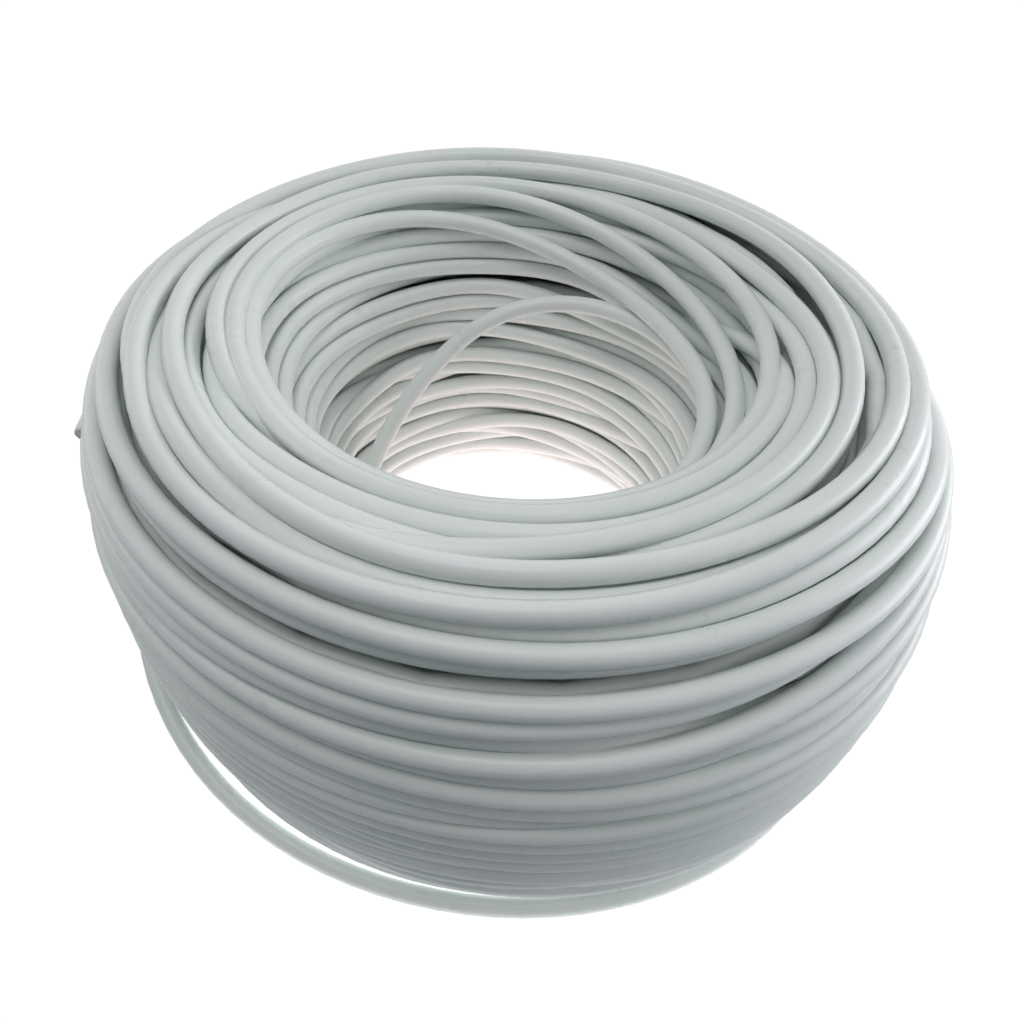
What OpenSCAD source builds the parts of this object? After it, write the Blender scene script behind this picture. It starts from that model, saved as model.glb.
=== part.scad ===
// Coil of white alarm cable, wound by hand and lying flat.
// The turns of the coil are one solid with a ridge for each turn that shows on its outside.
// Three stretches of cable lie apart from it: a slack turn on the floor, a strand that
// springs across the hole, and the outer end of the cable at the left.
// Origin: the middle of the hole, on the surface that the coil lies on, with +Z up.

/* [Cable] */
// Diameter over the sheath
cable_d = 4.2; // [3.5:0.1:5.5]

/* [Coil] */
// Width over the turns, the short way across
outer_w = 172; // [150:1:190]
// Length over the turns, the long way across
outer_l = 194; // [170:1:220]
// Width of the hole at its narrowest, the short way across
hole_w = 75; // [50:1:85]
// Turn of the long way about the upright axis, from +X
long_way_turn = -20; // [-90:1:90]
// Height of the coil
coil_h = 97; // [70:1:120]
// Height at which the slumped coil is widest, as a share of its height
widest_at = 0.38; // [0.3:0.01:0.5]

/* [Winding] */
// Squareness of the upper part of the wound section, where 2 is an ellipse
crown_power = 2.2; // [2:0.1:4]
// Squareness of the lower part, which slumps towards the floor
base_power = 2.8; // [2:0.1:5]
// How far the floor flattens the lower part, in cable diameters
base_sink = 0.4; // [0.1:0.1:1]
// Spacing of neighbouring turns on the outside, in cable diameters
turn_pitch = 1.12; // [1.03:0.01:1.2]
// How far a turn may sink between its neighbours, in cable diameters
unevenness = 0.3; // [0:0.05:0.4]

/* [Hidden] */

sheath_colour = [0.80, 0.83, 0.82];
ridge_facets = 48;
coil_facets = 192;
tube_sides = 10;

// Section that the turns fill, through the middles of the outermost turns
cable_r = cable_d / 2;
section_r = (outer_w + hole_w) / 4;
section_half_w = (outer_w - hole_w) / 4 - cable_r;
section_z = coil_h * widest_at;
crown_h = coil_h - section_z - cable_r;
// The lower part would end under the floor, so its lowest turns lie flat side by side
base_h = section_z - cable_r + base_sink * cable_d;

// Steps along the outline when its length is measured, in degrees
outline_step = 1;
// Angle between the irregular offsets of neighbouring turns, so that none repeat
unevenness_turn = 137.5;

// Points on the middle of each loose stretch, in order along the cable
slack_turn_route = [
    [-92.5, -20, 24], [-91.5, -29, 15], [-88.5, -38, 7.5], [-84, -45, 4.5],
    [-78, -52, 2.8], [-72, -58, 2.2], [-65, -63, 2.2], [-53, -70, 2.2],
    [-41, -76, 2.2], [-28, -81, 2.2], [-15, -84, 2.2], [-1, -85, 2.2],
    [12, -85, 2.2], [25, -83, 2.2], [39, -80, 2.2], [52, -74, 2.2],
    [63, -65, 2.5], [71, -57, 5]
];
inner_strand_route = [
    [-39.5, -7, 20], [-39, 2, 30], [-35, 8, 40], [-29, 13, 49],
    [-22, 18, 58], [-13, 23, 67], [-3, 27, 73], [9, 29, 76],
    [20, 27, 77], [32.5, 25, 75]
];
outer_end_route = [
    [-92.5, 28, 62], [-94.5, 18, 62], [-95.5, 6, 62], [-94.5, -6, 62]
];

// A power that keeps the sign of its base
function signed_power(base, exponent) = sign(base) * pow(abs(base), exponent);

// Middle of the outermost turn at an angle round the section, never under the floor
function outline_point(angle) =
    let (power = sin(angle) < 0 ? base_power : crown_power)
    let (height = sin(angle) < 0 ? base_h : crown_h)
    let (across = section_half_w * signed_power(cos(angle), 2 / power))
    let (upward = height * signed_power(sin(angle), 2 / power))
    [section_r + across, max(section_z + upward, cable_r)];

// Angle against the length of outline passed, for spacing the turns evenly
outline_angles = [for (angle = [-90 : outline_step : 270]) angle];
outline_points = [for (angle = outline_angles) outline_point(angle)];
function lengths_to(points, index = 0, passed = 0) =
    index == len(points) - 1
        ? [passed]
        : concat([passed], lengths_to(points, index + 1, passed + norm(points[index + 1] - points[index])));
outline_lengths = lengths_to(outline_points);
outline_length = outline_lengths[len(outline_lengths) - 1];
angle_by_length = [for (i = [0 : len(outline_angles) - 1]) [outline_lengths[i], outline_angles[i]]];

outer_turns = floor(outline_length / (turn_pitch * cable_d));

// Middle of one turn on the outside of the section, sunk inwards by its own amount
// unless it lies on the floor
function outer_turn(index) =
    let (point = outline_point(lookup(outline_length * index / outer_turns, angle_by_length)))
    let (inward = [section_r, section_z] - point)
    let (share = point.y > cable_r ? (1 + sin(unevenness_turn * index)) / 2 : 0)
    point + inward / norm(inward) * unevenness * cable_d * share;

outer_turn_points = [for (i = [0 : outer_turns - 1]) outer_turn(i)];

// The wound section: a ridge for each outer turn, round a filled middle
module wound_section() {
    polygon(outer_turn_points);
    for (point = outer_turn_points) {
        translate(point) circle(d = cable_d, $fn = ridge_facets);
    }
}

// All the turns, wound round the hole and pressed into an oval
module coil() {
    color(sheath_colour)
        rotate([0, 0, long_way_turn])
            scale([outer_l / outer_w, 1, 1])
                rotate_extrude($fn = coil_facets) wound_section();
}

function unit(v) = v / norm(v);

// Direction of a route at one of its points
function heading(route, index) =
    unit(route[min(index + 1, len(route) - 1)] - route[max(index - 1, 0)]);

// One ring of a tube, square to the route
function ring(route, index) =
    let (along = heading(route, index))
    let (side = unit(cross(along, [0, 0, 1])))
    let (upper = cross(side, along))
    [for (k = [0 : tube_sides - 1])
        let (angle = 360 * (k + 0.5) / tube_sides)
        route[index] + cable_r * (cos(angle) * side + sin(angle) * upper)];

// A length of cable along a route, cut square at both ends
module cable_tube(route) {
    last = len(route) - 1;
    points = [for (i = [0 : last]) each ring(route, i)];
    walls = [for (i = [0 : last - 1], k = [0 : tube_sides - 1])
        let (next = (k + 1) % tube_sides)
        let (here = i * tube_sides)
        let (ahead = here + tube_sides)
        each [[here + k, here + next, ahead + next], [here + k, ahead + next, ahead + k]]];
    first_cap = [for (k = [tube_sides - 1 : -1 : 0]) k];
    last_cap = [for (k = [0 : tube_sides - 1]) last * tube_sides + k];
    polyhedron(points, concat(walls, [first_cap, last_cap]));
}

module slack_turn() {
    color(sheath_colour) cable_tube(slack_turn_route);
}

module inner_strand() {
    color(sheath_colour) cable_tube(inner_strand_route);
}

module outer_end() {
    color(sheath_colour) cable_tube(outer_end_route);
}

coil();
slack_turn();
inner_strand();
outer_end();
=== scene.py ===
"""A coil of white alarm cable, lying flat on a white floor. All lengths are in metres."""

import math

import bpy
import numpy as np
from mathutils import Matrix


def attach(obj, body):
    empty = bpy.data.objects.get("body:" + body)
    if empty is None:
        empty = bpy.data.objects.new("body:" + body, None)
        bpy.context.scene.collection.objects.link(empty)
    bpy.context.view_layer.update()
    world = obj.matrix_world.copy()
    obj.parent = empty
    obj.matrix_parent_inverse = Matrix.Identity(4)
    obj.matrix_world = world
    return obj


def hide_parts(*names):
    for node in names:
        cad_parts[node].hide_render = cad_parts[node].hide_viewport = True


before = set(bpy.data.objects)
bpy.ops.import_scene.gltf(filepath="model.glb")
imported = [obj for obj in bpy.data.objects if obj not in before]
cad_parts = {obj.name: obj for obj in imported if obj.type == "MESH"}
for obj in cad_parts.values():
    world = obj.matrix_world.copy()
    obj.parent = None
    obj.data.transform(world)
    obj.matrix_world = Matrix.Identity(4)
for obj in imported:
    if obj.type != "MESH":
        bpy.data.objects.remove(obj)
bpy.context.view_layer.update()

# Cable and coil, as in the solids
CABLE_D = 0.0042
CABLE_R = CABLE_D / 2
OUTER_W = 0.172
OUTER_L = 0.194
HOLE_W = 0.075
COIL_H = 0.097
WIDEST_AT = 0.38
LONG_WAY_TURN = math.radians(-20)
LONG_SCALE = OUTER_L / OUTER_W
CROWN_POWER = 2.2
BASE_POWER = 2.8
BASE_SINK = 0.4 * CABLE_D
# The outer turns slump out over the floor a little more than the solid does
OUTER_BASE_POWER = 4.0

# Section that the turns fill, through the middles of its outermost turns
SECTION_R = (OUTER_W + HOLE_W) / 4
SECTION_HALF_W = (OUTER_W - HOLE_W) / 4 - CABLE_R
SECTION_Z = COIL_H * WIDEST_AT
CROWN_H = COIL_H - SECTION_Z - CABLE_R
BASE_H = SECTION_Z - CABLE_R + BASE_SINK

# Winding: stations are the places round a turn where the cable's middle is worked out
SEED = 3
STATIONS = 48
STEP_ANGLE = 2 * math.pi / STATIONS
# Azimuths of the cable's two ends, in degrees
START_AZIMUTH = -100
END_AZIMUTH = 183.6
# Layers from the outside in: the spacing of their turns, and their depth under the outline
LAYER_PITCHES = [share * CABLE_D for share in (0.78, 1.12, 1.6)]
LAYER_INSETS = [share * CABLE_D for share in (0, 1.5, 2.5)]
# Every second turn of the outermost layer sinks in by this, or by a little less
STAGGER = 0.63 * CABLE_D
LEAST_SUNK = 0.8
# Chance that a turn changes places with the next one
SWAPS = 0.45
# Crossing from one turn's place to the next: spread and length in degrees, limits as shares of a turn
CROSSOVER_SPREAD = 90
CROSSOVER_SOFTNESS = 45
CROSSOVER_LIMITS = (0.05, 0.95)
# Slow wandering of the strands: its size, and its cycles in each turn
WANDER = 0.0012
WANDER_CYCLES = (0.37, 0.83, 1.31, 1.87, 2.63)

# Settling of the turns against each other, with softness and rounding in stations
SETTLING_STEPS = 420
NEIGHBOUR_STEPS = 10
NEIGHBOUR_REACH = 1.6 * CABLE_D
CONTACT_D = 0.99 * CABLE_D
CONTACT_RATE = 0.5
CONTACT_ROUNDING = 2.8
TARGET_PULL = 0.02
LEAD_PULL = 0.5
LEAD_SOFTNESS = 11
LEAD_ROUNDING = 1.8
CONFINEMENT = 0.3
# How far the bell-shaped weight of the rounding reaches, in its own widths
BELL_REACH = 3
# Where the stations that the last turn doesn't reach are put, and the least number divided by
FAR_AWAY = 1e3
TINY = 1e-7

# Mesh of the cable, with fewer rings on the strands that lie deeper than this
TUBE_SIDES = 10
HIDDEN_DEPTH = 0.9 * CABLE_D
HIDDEN_STEP = 4
END_CHAMFER = 0.0003

# Loose stretches, whose points repeat the routes of the solids
SLACK_TURN_ROUTE = [
    (-0.0925, -0.020, 0.024), (-0.0915, -0.029, 0.015), (-0.0885, -0.038, 0.0075),
    (-0.084, -0.045, 0.0045), (-0.078, -0.052, 0.0028), (-0.072, -0.058, 0.0022),
    (-0.065, -0.063, 0.0022), (-0.053, -0.070, 0.0022), (-0.041, -0.076, 0.0022),
    (-0.028, -0.081, 0.0022), (-0.015, -0.084, 0.0022), (-0.001, -0.085, 0.0022),
    (0.012, -0.085, 0.0022), (0.025, -0.083, 0.0022), (0.039, -0.080, 0.0022),
    (0.052, -0.074, 0.0022), (0.063, -0.065, 0.0025), (0.071, -0.057, 0.005),
]
INNER_STRAND_ROUTE = [
    (0.0325, 0.025, 0.075), (0.020, 0.027, 0.077), (0.009, 0.029, 0.076), (-0.003, 0.027, 0.073),
    (-0.013, 0.023, 0.067), (-0.022, 0.018, 0.058), (-0.029, 0.013, 0.049), (-0.035, 0.008, 0.040),
    (-0.039, 0.002, 0.030), (-0.0395, -0.007, 0.020),
]
OUTER_END_ROUTE = [
    (-0.0925, 0.028, 0.062), (-0.0945, 0.018, 0.062), (-0.0955, 0.006, 0.062), (-0.0945, -0.006, 0.062),
]
# How far the cut end stands off the coil, which the solids leave out
END_SPRING = 0.003

# Stretches in plain view that cross others: azimuth in degrees, radius in the section, and height
INNER_START = [
    (-100, 0.0395, 0.070), (-50, 0.0395, 0.071), (0, 0.0405, 0.0715), (25, 0.0400, 0.0725),
]
CROSSING_TURNS = [
    (-150, 0.0405, 0.066), (-90, 0.040, 0.070), (-40, 0.0395, 0.075), (-15, 0.0385, 0.0775),
    (10, 0.0375, 0.077), (36, 0.0377, 0.0782), (62, 0.039, 0.081), (75, 0.041, 0.083),
    (86, 0.0435, 0.0845), (102, 0.0465, 0.088), (114, 0.048, 0.0895), (136, 0.049, 0.0908),
    (160, 0.049, 0.0915), (175, 0.0482, 0.091), (185, 0.0465, 0.0895), (205, 0.045, 0.088),
    (240, 0.0448, 0.0880), (270, 0.0452, 0.0882), (300, 0.0455, 0.0880), (330, 0.0465, 0.0880),
    (360, 0.0480, 0.0890), (400, 0.050, 0.0905), (450, 0.0535, 0.093), (500, 0.0545, 0.094),
    (540, 0.0535, 0.0935), (565, 0.0505, 0.0915), (590, 0.0455, 0.084), (620, 0.042, 0.0765),
    (660, 0.0415, 0.0755), (700, 0.0433, 0.079), (720, 0.043, 0.0805), (743, 0.0432, 0.0825),
    (765, 0.0448, 0.0855), (786, 0.0465, 0.0885), (806, 0.0495, 0.092), (821, 0.0505, 0.093),
    (848, 0.051, 0.0938), (870, 0.0508, 0.0935), (897, 0.0505, 0.0932), (910, 0.0486, 0.0915),
    (925, 0.0475, 0.090), (960, 0.0475, 0.0900), (990, 0.048, 0.0905), (1020, 0.0485, 0.0905),
    (1060, 0.0495, 0.091),
]
RIM_STRAND = [
    (0, 0.069, 0.0925), (17, 0.066, 0.094), (38, 0.063, 0.095), (52, 0.0615, 0.095),
    (67, 0.0615, 0.0955), (87, 0.062, 0.0963), (99, 0.062, 0.0963), (113, 0.062, 0.096),
    (131, 0.062, 0.0955), (144, 0.064, 0.095), (157, 0.066, 0.094), (175, 0.069, 0.0925),
]
LOW_STRAND = [
    (190, 0.0815, 0.012), (210, 0.083, 0.008), (225, 0.0835, 0.0065), (240, 0.0825, 0.006),
    (255, 0.0815, 0.006), (270, 0.081, 0.006), (290, 0.0805, 0.006),
]
# Turns that the crossing stretches add, and the places in the section where these stretches belong
CROSSING_EXTRA = 3
CROSSING_PLACE = (0.0405, 0.066)
RIM_PLACE = (0.0615, 0.095)
SLACK_PLACE = (0.078, 0.004)

# Sheath: satin white PVC
SHEATH_GREENER = (0.725, 0.80, 0.76, 1)
SHEATH_GREYER = (0.775, 0.83, 0.805, 1)
SHEEN_LEVEL = 0.3
TINT_SCALE = 40
SCUFF_PATCH_SCALE = 60
SCUFF_PATCH_RANGE = (0.60, 0.78)
SCUFF_STREAK_SCALE = 420
SCUFF_STREAK_RANGE = (0.55, 0.7)
SCUFF_DEPTH = 0.16
SCUFF_COLOUR = (0.30, 0.31, 0.31, 1)
GLOSS_SCALE = 90
GLOSS_RANGE = (0.26, 0.36)
BUMP_SCALE = 300
BUMP_STRENGTH = 0.12
BUMP_DISTANCE = 0.0004
# Range that most of a noise lies in
NOISE_RANGE = (0.3, 0.7)

# Floor, and the light that it throws up at distances from the coil's middle
FLOOR_HALF = 3
FLOOR_PAPER = (0.18, 0.18, 0.18, 1)
FLOOR_WHITE = (0.91, 0.91, 0.91, 1)
GLOW_REACH = 0.2
FLOOR_GLOW = [
    (0.0375, (1.9, 1.5, 1.56, 1)), (0.070, (1.5, 1.46, 1.52, 1)),
    (0.096, (1.9, 1.85, 1.92, 1)), (0.116, (0.03, 0.06, 0.09, 1)),
]

# Sky: its colour from the front, at 0, to the back, at 1, and its colour above, past these heights
SKY_STRENGTH = 0.42
SKY_ROUND = [(0.3, (0.0, 0.02, 0.05, 1)), (0.6, (0.65, 0.60, 0.65, 1)), (1, (1.55, 1.43, 1.55, 1))]
SKY_HEIGHTS = (0.35, 0.65)
SKY_TOP = (1.0, 0.97, 1.0, 1)
WHITE = (1, 1, 1, 1)

# Lamps that face the middle of the floor: name, place, size, power in watts and colour
LAMPS = [
    ("key", (-0.1, -0.06, 0.8), 0.35, 1.35, (1, 0.96, 1)),
    ("right", (0.75, 0.02, 0.18), 0.5, 4.2, (0.98, 0.95, 1)),
    ("left", (-0.7, 0.25, 0.3), 0.5, 0.75, (1, 0.96, 0.98)),
]

# Camera, with the pixel of the picture that it points at
CAMERA_ELEVATION = math.radians(47.8)
CAMERA_DISTANCE = 0.1935
CAMERA_AIM_Z = 0.049
CAMERA_CLIP_START = 0.01
SENSOR_W = 36
FOCAL_PIXELS = 795
IMAGE_PIXELS = 1024
MIDDLE_PIXEL = (506.0, 465.5)

# Sockets of a colour mix node
MIX_FACTOR = 0
MIX_FIRST = 6
MIX_SECOND = 7
MIX_RESULT = 2

rng = np.random.default_rng(SEED)


def signed_power(base, exponent):
    """A power that keeps the sign of its base."""
    return np.sign(base) * np.abs(base) ** exponent


def outline_point(angle, inset):
    """Middle of a turn at an angle round the section, on an outline set in from the outermost one."""
    lower = math.sin(angle) < 0
    power = CROWN_POWER
    if lower:
        power = OUTER_BASE_POWER if math.cos(angle) > 0 else BASE_POWER
    height = BASE_H if lower else CROWN_H
    across = max(SECTION_HALF_W - inset, 0) * signed_power(math.cos(angle), 2 / power)
    upward = (height - inset) * signed_power(math.sin(angle), 2 / power)
    return SECTION_R + across, max(SECTION_Z + upward, CABLE_R + inset)


def layer_slots(layer):
    """Places for the turns of one layer of the section, evenly spaced along its outline."""
    inset = LAYER_INSETS[layer]
    # Once round from the bottom, a degree at a time
    angles = np.radians(np.arange(-90, 271))
    points = np.array([outline_point(angle, inset) for angle in angles])
    lengths = np.concatenate([[0], np.cumsum(np.linalg.norm(np.diff(points, axis=0), axis=1))])
    count = int(lengths[-1] / LAYER_PITCHES[layer])
    # Every second layer starts half a turn's spacing further on
    wanted = lengths[-1] * (np.arange(count) + layer % 2 / 2) / count
    slots = np.column_stack([np.interp(wanted, lengths, points[:, axis]) for axis in (0, 1)])
    if layer == 0:
        inward = np.array([SECTION_R, SECTION_Z]) - slots
        inward /= np.linalg.norm(inward, axis=1)[:, None]
        sunk = rng.uniform(LEAST_SUNK, 1, count) * (np.arange(count) % 2)
        slots += inward * (STAGGER * sunk)[:, None]
    return slots


def wound_layer(layer):
    """Slots of one layer in the order of winding, from the outer end's height down and round."""
    slots = layer_slots(layer)[::-1]
    below_end = (slots[:, 0] > SECTION_R) & (slots[:, 1] < OUTER_END_ROUTE[0][2])
    first = np.argmax(np.where(below_end, slots[:, 1], 0))
    slots = np.roll(slots, -first, axis=0)
    for row in range(len(slots) - 1):
        if rng.random() < SWAPS:
            slots[[row, row + 1]] = slots[[row + 1, row]]
    return slots


def nearest(slots, place):
    """Number of the slot nearest to a place in the section."""
    return int(np.argmin(np.linalg.norm(slots - np.array(place), axis=1)))


def to_section(points):
    """Angle round the coil, radius in the section and height of points in space."""
    points = np.asarray(points, float)
    along = points[:, 0] * math.cos(LONG_WAY_TURN) + points[:, 1] * math.sin(LONG_WAY_TURN)
    across = points[:, 1] * math.cos(LONG_WAY_TURN) - points[:, 0] * math.sin(LONG_WAY_TURN)
    angle = np.unwrap(np.arctan2(across, along / LONG_SCALE))
    return angle, np.column_stack([np.hypot(along / LONG_SCALE, across), points[:, 2]])


def to_space(angle, place):
    """Points in space from angles round the coil and places in the section."""
    along = LONG_SCALE * place[:, 0] * np.cos(angle)
    across = place[:, 0] * np.sin(angle)
    x = along * math.cos(LONG_WAY_TURN) - across * math.sin(LONG_WAY_TURN)
    y = along * math.sin(LONG_WAY_TURN) + across * math.cos(LONG_WAY_TURN)
    return np.column_stack([x, y, place[:, 1]])


def coil_angle(azimuth):
    """Angle round the coil of an azimuth in degrees, counted on over whole turns."""
    bearing = np.radians(np.asarray(azimuth, float)) - LONG_WAY_TURN
    folded = np.arctan2(LONG_SCALE * np.sin(bearing), np.cos(bearing))
    return folded + 2 * math.pi * np.round((bearing - folded) / (2 * math.pi))


START_ANGLE = float(coil_angle(START_AZIMUTH))


def station_of(angle, turn):
    """Station, as a fraction too, of an angle round the coil in a numbered turn."""
    return (np.asarray(angle) - START_ANGLE) / STEP_ANGLE + turn * STATIONS


def lead(target, held, stations, places):
    """Makes the cable follow given places from the first station to the last, eased in and out."""
    first = max(math.floor(stations[0]) - LEAD_SOFTNESS, 0)
    last = min(math.ceil(stations[-1]) + LEAD_SOFTNESS, len(target) - 1)
    led = np.arange(first, last + 1)
    wanted = np.column_stack([np.interp(led, stations, places[:, axis]) for axis in (0, 1)])
    beyond = np.maximum(np.maximum(stations[0] - led, led - stations[-1]), 0)
    share = np.clip(1 - beyond / LEAD_SOFTNESS, 0, 1)
    share = share * share * (3 - 2 * share)
    target[led] += share[:, None] * (wanted - target[led])
    held[led] = np.maximum(held[led], share)


def route_stations(turn, route):
    """Stations and places in the section of a route given in space."""
    angle, places = to_section(route)
    first = float(coil_angle(math.degrees(math.atan2(route[0][1], route[0][0]))))
    if first < START_ANGLE:
        first += 2 * math.pi
    return station_of(angle - angle[0] + first, turn), places


def azimuth_stations(turn, points):
    """Stations and places in the section of points given by azimuth."""
    points = np.array(points)
    return station_of(coil_angle(points[:, 0]), turn), points[:, 1:]


def smooth(values, width):
    """Moving average with a bell-shaped weight, along the cable."""
    reach = int(BELL_REACH * width)
    weights = np.exp(-0.5 * (np.arange(-reach, reach + 1) / width) ** 2)
    weights /= weights.sum()
    padded = np.pad(values, ((reach, reach), (0, 0)), mode="edge")
    return np.column_stack([np.convolve(padded[:, axis], weights, mode="valid") for axis in (0, 1)])


def planned_winding():
    """Place in the section that each station is wound towards, and how firmly a route holds it."""
    outermost, *inner_layers = [wound_layer(layer) for layer in range(len(LAYER_PITCHES))]
    low = nearest(outermost, CROSSING_PLACE) + 1
    extra = np.repeat(outermost[low - 1:low], CROSSING_EXTRA, axis=0)
    outermost = np.concatenate([outermost[:low], extra, outermost[low:]])
    hidden = np.concatenate(inner_layers[::-1])
    turns = np.concatenate([hidden[:1], hidden, outermost])
    covered = len(turns) - len(outermost)
    low_turn = covered + low
    rim_turn = covered + nearest(outermost, RIM_PLACE)
    slack_turn = covered + nearest(outermost, SLACK_PLACE)
    last_turn = len(turns) - 1
    count = math.floor(station_of(coil_angle(END_AZIMUTH), last_turn)) + 1

    crossover = rng.normal(0, CROSSOVER_SPREAD / 360, len(turns)) + 0.5
    changes = (np.arange(len(turns)) + np.clip(crossover, *CROSSOVER_LIMITS)) * STATIONS
    slot_number = np.minimum(np.searchsorted(changes, np.arange(count)), last_turn)
    target = turns[slot_number].astype(float)
    held = np.zeros(count)

    turn_position = np.arange(count)[:, None] / STATIONS
    for cycles in WANDER_CYCLES:
        phase = rng.uniform(0, 2 * math.pi, 2)
        target += WANDER * np.sin(2 * math.pi * cycles * turn_position + phase)
    target = smooth(target, CROSSOVER_SOFTNESS / 360 * STATIONS)

    start_stations, start_places = azimuth_stations(0, INNER_START)
    inner_stations, inner_places = route_stations(0, INNER_STRAND_ROUTE)
    lead(target, held, np.concatenate([start_stations, inner_stations]),
         np.concatenate([start_places, inner_places]))
    lead(target, held, *azimuth_stations(low_turn, CROSSING_TURNS))
    lead(target, held, *azimuth_stations(rim_turn, RIM_STRAND))
    lead(target, held, *azimuth_stations(slack_turn - 1, LOW_STRAND))
    lead(target, held, *route_stations(slack_turn, SLACK_TURN_ROUTE))
    end_stations, end_places = route_stations(last_turn, OUTER_END_ROUTE)
    end_places[:, 0] += END_SPRING * np.linspace(0, 1, len(end_places))
    lead(target, held, end_stations, end_places)
    return smooth(target, LEAD_ROUNDING), held


def near_pairs(place):
    """Pairs of strands that lie close together at the same station of different turns."""
    turns = math.ceil(len(place) / STATIONS)
    padded = np.full((turns * STATIONS, 2), np.inf)
    padded[:len(place)] = place
    grid = padded.reshape(turns, STATIONS, 2).transpose(1, 0, 2)
    grid = np.where(np.isfinite(grid), grid, FAR_AWAY + np.arange(turns)[None, :, None])
    gaps = grid[:, :, None, :] - grid[:, None, :, :]
    close = (np.abs(gaps) < NEIGHBOUR_REACH).all(axis=3)
    station, one, other = np.nonzero(np.triu(close, 1))
    return one * STATIONS + station, other * STATIONS + station


def outline_share(place, inset=0):
    """Below 1 inside the outline of the section, and above 1 outside it."""
    across = place[:, 0] - SECTION_R
    upward = place[:, 1] - SECTION_Z
    base_power = np.where(across > 0, OUTER_BASE_POWER, BASE_POWER)
    power = np.where(upward < 0, base_power, CROWN_POWER)
    height = np.where(upward < 0, BASE_H, CROWN_H) - inset
    width = SECTION_HALF_W - inset
    return ((np.abs(across) / width) ** power + (np.abs(upward) / height) ** power) ** (1 / power)


def settled_winding(target, held):
    """Lets the turns push each other apart until they rest on each other."""
    angle = START_ANGLE + STEP_ANGLE * np.arange(len(target))
    # How much wider than the section the coil is, square to the cable
    spread = LONG_SCALE / np.sqrt(np.cos(angle) ** 2 + (LONG_SCALE * np.sin(angle)) ** 2)
    place = target.copy()
    centre = np.array([SECTION_R, SECTION_Z])
    free = 1 - held
    pull = (TARGET_PULL * free + LEAD_PULL * held)[:, None]
    for step in range(SETTLING_STEPS):
        if step % NEIGHBOUR_STEPS == 0:
            one, other = near_pairs(place)
            shared = np.maximum(free[one] + free[other], TINY)
        gap = place[other] - place[one]
        gap[:, 0] *= spread[one]
        distance = np.maximum(np.linalg.norm(gap, axis=1), TINY)
        overlap = np.maximum(CONTACT_D - distance, 0) * CONTACT_RATE
        move = gap * (overlap / distance)[:, None]
        move[:, 0] /= spread[one]
        push = np.zeros_like(place)
        for axis in (0, 1):
            away = np.bincount(other, move[:, axis] * free[other] / shared, len(place))
            back = np.bincount(one, move[:, axis] * free[one] / shared, len(place))
            push[:, axis] = 2 * (away - back)
        share = outline_share(place)
        outside = np.maximum(share - 1, 0) * free * CONFINEMENT
        push += (outside / np.maximum(share, TINY))[:, None] * (centre - place)
        push += pull * (target - place)
        place += smooth(push, CONTACT_ROUNDING)
        place[:, 1] = np.maximum(place[:, 1], CABLE_R)
    return angle, smooth(place, CONTACT_ROUNDING / 2)


def doubled(values):
    """Adds a point on a smooth curve between each point and the next, from the two on either side."""
    padded = np.pad(values, ((1, 1), (0, 0)), mode="edge")
    middle = (9 * (padded[1:-2] + padded[2:-1]) - padded[:-3] - padded[3:]) / 16
    result = np.empty((2 * len(values) - 1, values.shape[1]))
    result[::2] = values
    result[1::2] = middle
    return result


def ring_numbers(place, held):
    """Points that get a ring of the mesh: all on the outside of the coil, fewer inside it."""
    hidden = outline_share(place, HIDDEN_DEPTH) < 1
    number = np.arange(len(place))
    keep = ~hidden | (held > 0) | (number % HIDDEN_STEP == 0)
    keep[[0, -1]] = True
    return number[keep]


def tube_mesh(name, path):
    """A round tube along a path, with a small chamfer and a flat face at each cut end."""
    for end, inner in ((0, 1), (-1, -2)):
        inward = path[inner] - path[end]
        shoulder = path[end] + END_CHAMFER * inward / np.linalg.norm(inward)
        path = np.insert(path, 1 if end == 0 else len(path) - 1, shoulder, axis=0)
    radius = np.full(len(path), CABLE_R)
    radius[[0, -1]] -= END_CHAMFER
    tangent = np.gradient(path, axis=0)
    tangent /= np.linalg.norm(tangent, axis=1)[:, None]
    side = np.cross(tangent, (0, 0, 1))
    side /= np.linalg.norm(side, axis=1)[:, None]
    upper = np.cross(side, tangent)
    turn = 2 * math.pi * np.arange(TUBE_SIDES) / TUBE_SIDES
    spoke = np.cos(turn)[None, :, None] * side[:, None] + np.sin(turn)[None, :, None] * upper[:, None]
    rings = path[:, None] + radius[:, None, None] * spoke
    verts = rings.reshape(-1, 3)
    here = np.arange(len(path) - 1)[:, None] * TUBE_SIDES
    corner = np.arange(TUBE_SIDES)[None]
    following = (corner + 1) % TUBE_SIDES
    walls = np.stack([here + corner, here + following, here + TUBE_SIDES + following,
                      here + TUBE_SIDES + corner], axis=2).reshape(-1, 4)
    first_cap = list(range(TUBE_SIDES))[::-1]
    last_cap = [len(verts) - TUBE_SIDES + k for k in range(TUBE_SIDES)]
    mesh = bpy.data.meshes.new(name)
    mesh.from_pydata(verts.tolist(), [], walls.tolist() + [first_cap, last_cap])
    mesh.polygons.foreach_set("use_smooth", [True] * len(walls) + [False, False])
    mesh.update()
    return mesh


def ranged(tree, value, from_range, to_range=(0, 1), curve="LINEAR"):
    """A linked value carried from one range to another, and kept inside it."""
    node = tree.nodes.new("ShaderNodeMapRange")
    node.interpolation_type = curve
    node.inputs["From Min"].default_value = from_range[0]
    node.inputs["From Max"].default_value = from_range[1]
    node.inputs["To Min"].default_value = to_range[0]
    node.inputs["To Max"].default_value = to_range[1]
    tree.links.new(value, node.inputs["Value"])
    return node.outputs["Result"]


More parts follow.
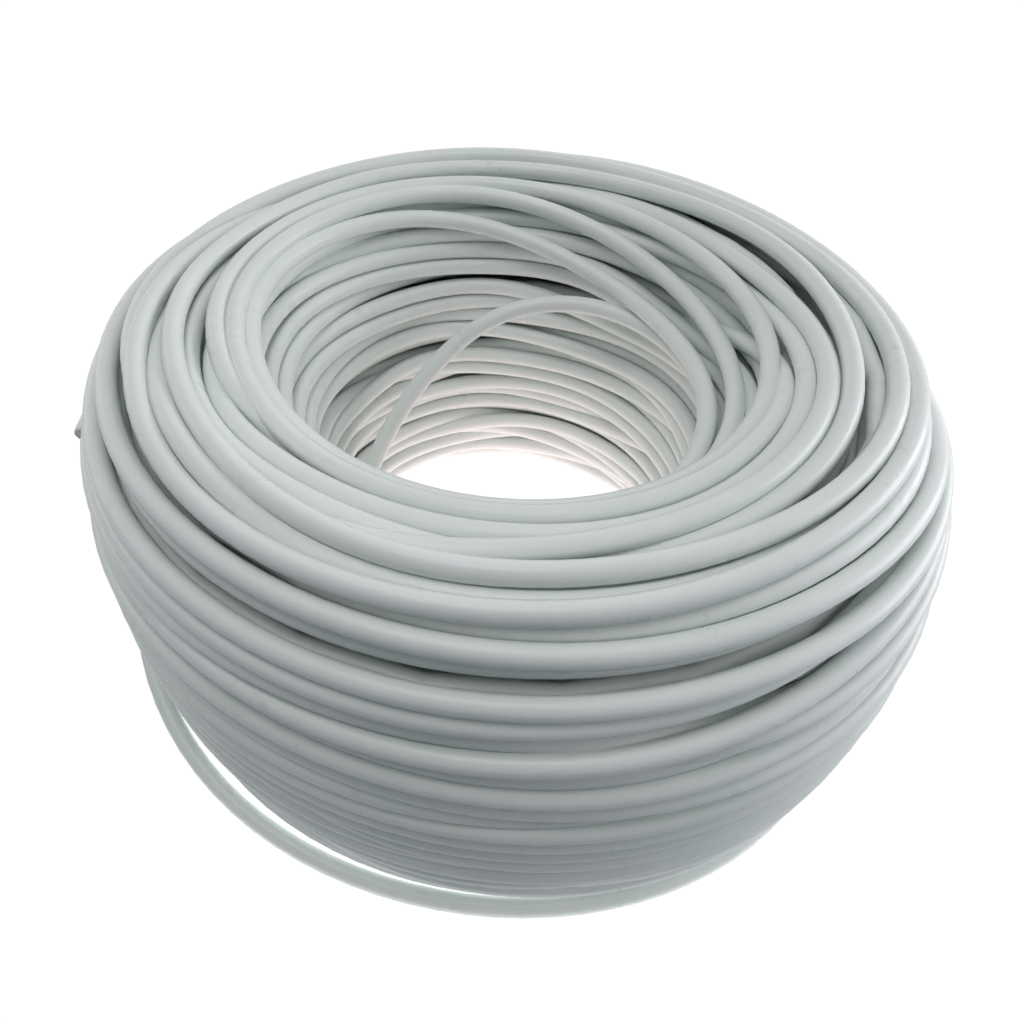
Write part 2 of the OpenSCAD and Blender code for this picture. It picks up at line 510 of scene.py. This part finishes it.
def ramped(tree, value, stops):
    """Colour that follows a linked value through stops, each with a position and a colour."""
    node = tree.nodes.new("ShaderNodeValToRGB")
    elements = node.color_ramp.elements
    while len(elements) < len(stops):
        elements.new(0.5)
    for element, (position, colour) in zip(elements, stops):
        element.position = position
        element.color = colour
    tree.links.new(value, node.inputs["Fac"])
    return node.outputs["Color"]


def mixed(tree, factor, first, second):
    """A linked colour that becomes a fixed second one as the factor goes from 0 to 1."""
    node = tree.nodes.new("ShaderNodeMix")
    node.data_type = "RGBA"
    node.inputs[MIX_SECOND].default_value = second
    tree.links.new(factor, node.inputs[MIX_FACTOR])
    tree.links.new(first, node.inputs[MIX_FIRST])
    return node.outputs[MIX_RESULT]


def sheath_material():
    """Satin white PVC with faint changes of tint, a few scuffs and a slightly wavy skin."""
    material = bpy.data.materials.new("sheath")
    material.use_nodes = True
    tree = material.node_tree
    shader = tree.nodes["Principled BSDF"]
    shader.inputs["Specular IOR Level"].default_value = SHEEN_LEVEL
    coords = tree.nodes.new("ShaderNodeTexCoord")

    def noise(scale, detail):
        node = tree.nodes.new("ShaderNodeTexNoise")
        node.inputs["Scale"].default_value = scale
        node.inputs["Detail"].default_value = detail
        tree.links.new(coords.outputs["Object"], node.inputs["Vector"])
        return node.outputs["Fac"]

    tint_stops = list(zip(NOISE_RANGE, (SHEATH_GREENER, SHEATH_GREYER)))
    tint = ramped(tree, noise(TINT_SCALE, detail=2), tint_stops)
    patch = ranged(tree, noise(SCUFF_PATCH_SCALE, detail=0), SCUFF_PATCH_RANGE)
    streak = ranged(tree, noise(SCUFF_STREAK_SCALE, detail=3), SCUFF_STREAK_RANGE, (0, SCUFF_DEPTH))
    scuff = tree.nodes.new("ShaderNodeMath")
    scuff.operation = "MULTIPLY"
    tree.links.new(patch, scuff.inputs[0])
    tree.links.new(streak, scuff.inputs[1])
    colour = mixed(tree, scuff.outputs[0], tint, SCUFF_COLOUR)
    tree.links.new(colour, shader.inputs["Base Color"])

    gloss = ranged(tree, noise(GLOSS_SCALE, detail=2), NOISE_RANGE, GLOSS_RANGE)
    tree.links.new(gloss, shader.inputs["Roughness"])

    bump = tree.nodes.new("ShaderNodeBump")
    bump.inputs["Strength"].default_value = BUMP_STRENGTH
    bump.inputs["Distance"].default_value = BUMP_DISTANCE
    tree.links.new(noise(BUMP_SCALE, detail=3), bump.inputs["Height"])
    tree.links.new(bump.outputs["Normal"], shader.inputs["Normal"])
    return material


def seen_directly(tree):
    """1 where the eye, a reflection or a transparent surface looks, and 0 where light only falls."""
    rays = tree.nodes.new("ShaderNodeLightPath")
    result = rays.outputs["Is Camera Ray"]
    for name in ("Is Glossy Ray", "Is Transmission Ray"):
        either = tree.nodes.new("ShaderNodeMath")
        either.operation = "MAXIMUM"
        tree.links.new(result, either.inputs[0])
        tree.links.new(rays.outputs[name], either.inputs[1])
        result = either.outputs[0]
    return result


def floor_material():
    """White paper with a faint shadow, which lights the coil from below and inside the hole."""
    material = bpy.data.materials.new("floor")
    material.use_nodes = True
    tree = material.node_tree
    tree.nodes.remove(tree.nodes["Principled BSDF"])
    paper = tree.nodes.new("ShaderNodeBsdfDiffuse")
    paper.inputs["Color"].default_value = FLOOR_PAPER
    coords = tree.nodes.new("ShaderNodeTexCoord")
    radius = tree.nodes.new("ShaderNodeVectorMath")
    radius.operation = "LENGTH"
    tree.links.new(coords.outputs["Object"], radius.inputs[0])
    outward = ranged(tree, radius.outputs["Value"], (0, GLOW_REACH))
    glow_stops = [(distance / GLOW_REACH, colour) for distance, colour in FLOOR_GLOW]
    lit = ramped(tree, outward, glow_stops)
    glow = tree.nodes.new("ShaderNodeEmission")
    tree.links.new(mixed(tree, seen_directly(tree), lit, FLOOR_WHITE), glow.inputs["Color"])
    both = tree.nodes.new("ShaderNodeAddShader")
    tree.links.new(paper.outputs[0], both.inputs[0])
    tree.links.new(glow.outputs[0], both.inputs[1])
    tree.links.new(both.outputs[0], tree.nodes["Material Output"].inputs["Surface"])
    return material


def studio_world():
    """Soft light from above, the sides and the back, dim from the front, and white to the eye."""
    world = bpy.data.worlds.new("studio")
    world.use_nodes = True
    tree = world.node_tree
    coords = tree.nodes.new("ShaderNodeTexCoord")
    split = tree.nodes.new("ShaderNodeSeparateXYZ")
    tree.links.new(coords.outputs["Generated"], split.inputs[0])
    height = ranged(tree, split.outputs["Z"], SKY_HEIGHTS, curve="SMOOTHSTEP")
    depth = ranged(tree, split.outputs["Y"], (-1, 1))
    sky = tree.nodes["Background"]
    sky.inputs["Strength"].default_value = SKY_STRENGTH
    sky_colour = mixed(tree, height, ramped(tree, depth, SKY_ROUND), SKY_TOP)
    tree.links.new(sky_colour, sky.inputs["Color"])
    white = tree.nodes.new("ShaderNodeBackground")
    white.inputs["Color"].default_value = WHITE
    mix = tree.nodes.new("ShaderNodeMixShader")
    tree.links.new(seen_directly(tree), mix.inputs[0])
    tree.links.new(sky.outputs[0], mix.inputs[1])
    tree.links.new(white.outputs[0], mix.inputs[2])
    tree.links.new(mix.outputs[0], tree.nodes["World Output"].inputs["Surface"])
    return world


def area_light(name, location, size, power, colour):
    """A square lamp that faces the origin."""
    light = bpy.data.lights.new(name, "AREA")
    light.size = size
    light.energy = power
    light.color = colour
    lamp = bpy.data.objects.new(name, light)
    lamp.location = location
    x, y, z = location
    lamp.rotation_euler = (math.atan2(math.hypot(x, y), z), 0, math.atan2(x, -y))
    bpy.context.scene.collection.objects.link(lamp)


# Cable
target, held = planned_winding()
angle, place = settled_winding(target, held)
path = doubled(to_space(angle, place))
place = doubled(place)
held = doubled(held[:, None])[:, 0]
path = path[ring_numbers(place, held)]

cable = bpy.data.objects.new("cable", tube_mesh("cable", path))
cable.data.materials.append(sheath_material())
bpy.context.scene.collection.objects.link(cable)
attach(cable, "root")
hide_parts("coil", "slack_turn", "inner_strand", "outer_end")

# Floor and light
floor_corners = [
    (-FLOOR_HALF, -FLOOR_HALF, 0), (FLOOR_HALF, -FLOOR_HALF, 0),
    (FLOOR_HALF, FLOOR_HALF, 0), (-FLOOR_HALF, FLOOR_HALF, 0),
]
floor_mesh = bpy.data.meshes.new("floor")
floor_mesh.from_pydata(floor_corners, [], [(0, 1, 2, 3)])
floor_mesh.materials.append(floor_material())
floor = bpy.data.objects.new("floor", floor_mesh)
bpy.context.scene.collection.objects.link(floor)

bpy.context.scene.world = studio_world()
for lamp_values in LAMPS:
    area_light(*lamp_values)

# Camera
camera_data = bpy.data.cameras.new("camera")
camera_data.sensor_width = SENSOR_W
camera_data.lens = FOCAL_PIXELS / IMAGE_PIXELS * SENSOR_W
camera_data.shift_x = 0.5 - MIDDLE_PIXEL[0] / IMAGE_PIXELS
camera_data.shift_y = MIDDLE_PIXEL[1] / IMAGE_PIXELS - 0.5
camera_data.clip_start = CAMERA_CLIP_START
camera = bpy.data.objects.new("camera", camera_data)
camera.location = (0, -CAMERA_DISTANCE * math.cos(CAMERA_ELEVATION),
                   CAMERA_AIM_Z + CAMERA_DISTANCE * math.sin(CAMERA_ELEVATION))
camera.rotation_euler = (math.pi / 2 - CAMERA_ELEVATION, 0, 0)
bpy.context.scene.collection.objects.link(camera)
bpy.context.scene.camera = camera
bpy.context.scene.view_settings.view_transform = "Standard"

# Bring the scene up to date
bpy.context.view_layer.update()
